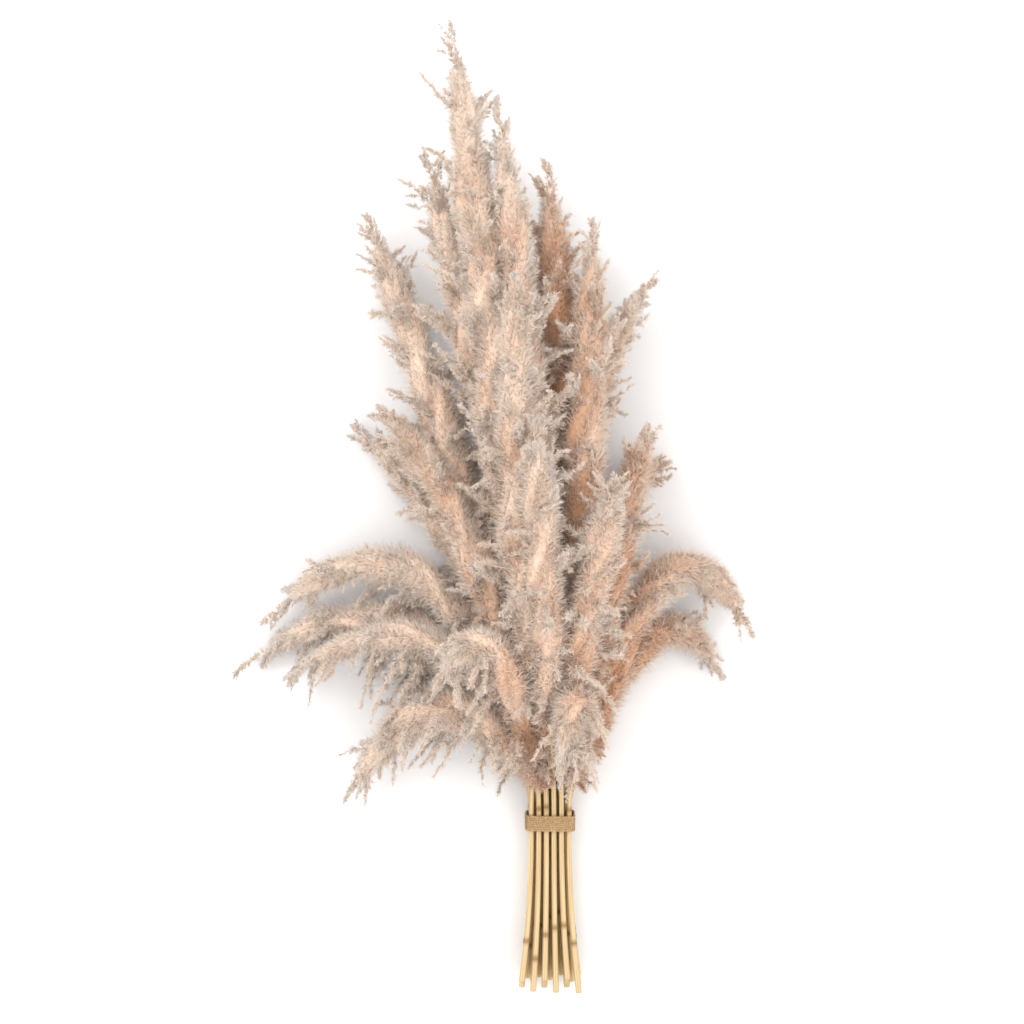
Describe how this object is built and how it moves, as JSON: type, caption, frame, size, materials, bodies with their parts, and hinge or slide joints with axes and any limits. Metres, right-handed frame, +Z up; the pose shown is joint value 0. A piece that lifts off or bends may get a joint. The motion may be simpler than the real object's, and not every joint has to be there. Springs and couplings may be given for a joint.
{
  "type": "bundle of dried pampas grass",
  "caption": "Tied bundle of dried pampas grass lying on a surface: feathery cream and peach plumes fanning out from slim gathered stalks.",
  "frame": {"origin": "bottom centre of the bundle's box, on the surface that it lies on", "axes": "+Z up from the surface, +Y along the stems towards the plume tips, +X to the right of someone who looks down on it with the tips pointing away"},
  "size_m": [0.543, 0.9858, 0.1959],
  "materials": {
    "plume": "matte",
    "stalk": "matte",
    "tie": "matte"
  },
  "bodies": {
    "root": {"stalk_left_fan_long": "stalk", "stalk_left_point": "stalk", "stalk_underside": "stalk", "stalk_right_tuft": "stalk", "stalk_right_arch_low": "stalk", "stalk_left_fan_high": "stalk", "stalk_left_high": "stalk", "stalk_crown_left": "stalk", "stalk_crown_right": "stalk", "stalk_right_high": "stalk", "stalk_right_arch": "stalk", "stalk_left_fan_short": "stalk", "stalk_left_tuft": "stalk", "stalk_crown": "stalk", "stalk_crown_second": "stalk", "stalk_right_shoulder": "stalk", "stalk_right_mid": "stalk", "stalk_left_drop": "stalk", "stalk_front_left": "stalk", "stalk_front_high": "stalk", "stalk_front_mid": "stalk", "stalk_front_right": "stalk", "stalk_front_low": "stalk", "tie": "tie", "plume_left_fan_long": "plume", "plume_left_point": "plume", "plume_underside": "plume", "plume_right_tuft": "plume", "plume_right_arch_low": "plume", "plume_left_fan_high": "plume", "plume_left_high": "plume", "plume_crown_left": "plume", "plume_crown_right": "plume", "plume_right_high": "plume", "plume_right_arch": "plume", "plume_left_fan_short": "plume", "plume_left_tuft": "plume", "plume_crown": "plume", "plume_crown_second": "plume", "plume_right_shoulder": "plume", "plume_right_mid": "plume", "plume_left_drop": "plume", "plume_front_left": "plume", "plume_front_high": "plume", "plume_front_mid": "plume", "plume_front_right": "plume", "plume_front_low": "plume"}
  },
  "joints": []
}
